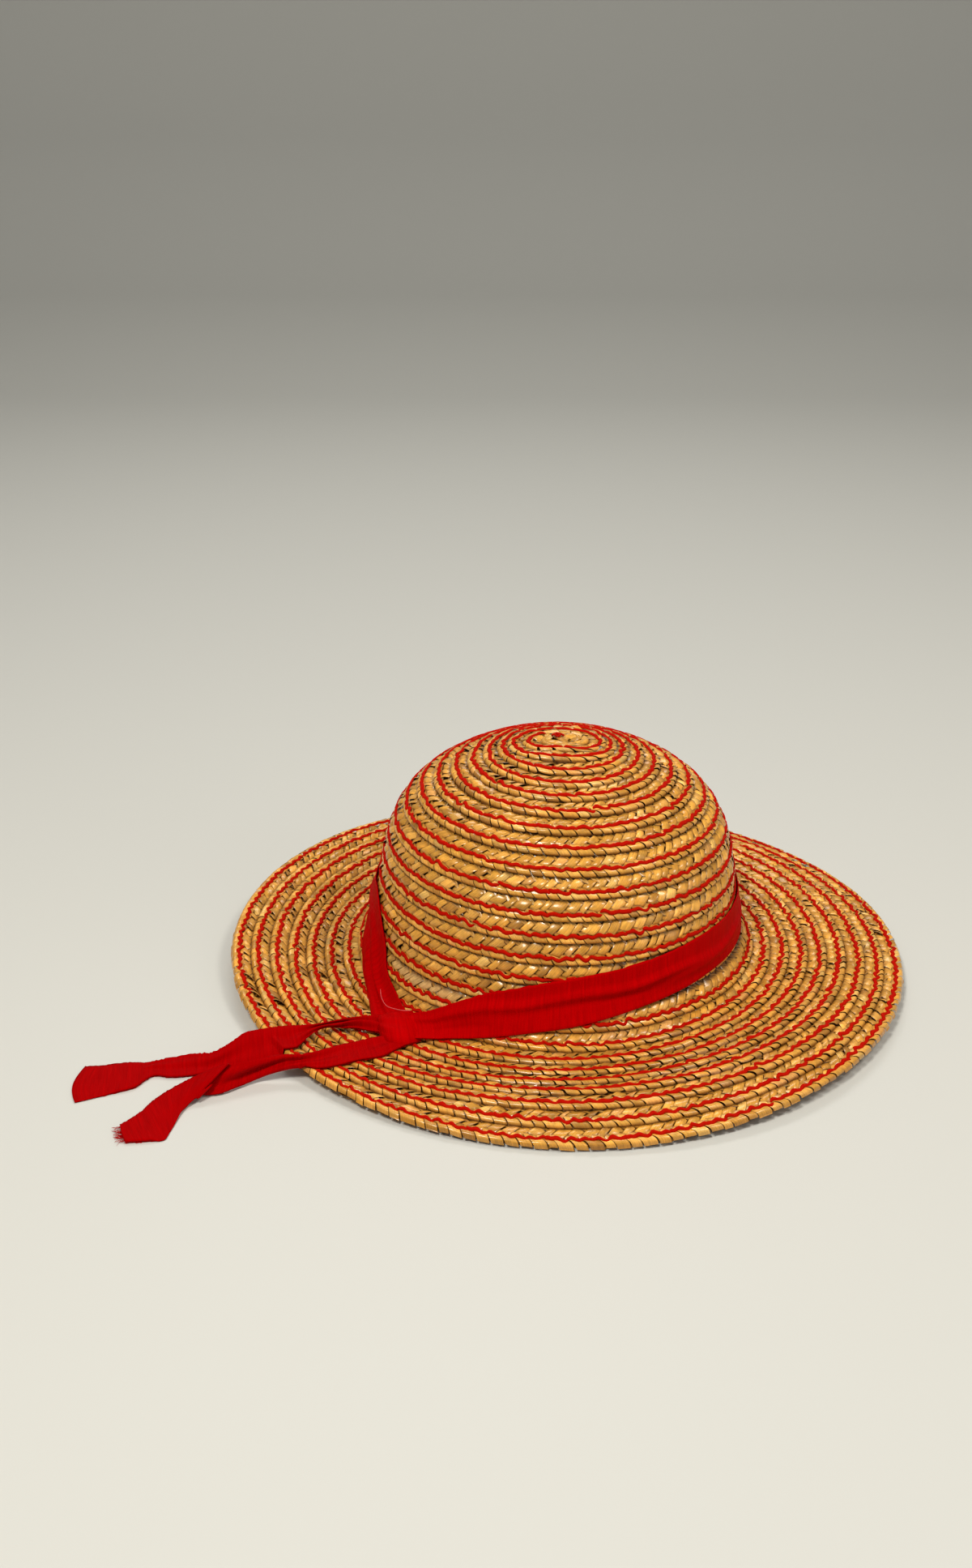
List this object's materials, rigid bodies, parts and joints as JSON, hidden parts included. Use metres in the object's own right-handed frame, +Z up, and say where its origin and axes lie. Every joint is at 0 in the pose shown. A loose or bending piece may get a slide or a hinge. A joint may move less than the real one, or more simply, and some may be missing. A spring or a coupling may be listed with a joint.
{
  "type": "sun hat",
  "caption": "Round-crowned sun hat of sewn straw plait with a wide wavy brim and a tied ribbon whose loose tails lie to one side.",
  "frame": {"origin": "middle of the whole footprint, ribbon tails included, on the surface that the hat rests on", "axes": "+Z up through the crown, +X along the longest side away from the ribbon's tails, -Y towards the viewer of the picture"},
  "size_m": [0.4293, 0.3703, 0.129],
  "materials": {
    "straw": "glossy golden wheat-straw plait with a red sewing thread along each row",
    "ribbon": "saturated red finely ribbed ribbon, softly creased, with frayed cut ends"
  },
  "bodies": {
    "root": {"crown": "straw", "brim": "straw", "ribbon_band": "ribbon", "ribbon_knot": "ribbon", "ribbon_tail_upper": "ribbon", "ribbon_tail_lower": "ribbon"}
  },
  "joints": []
}
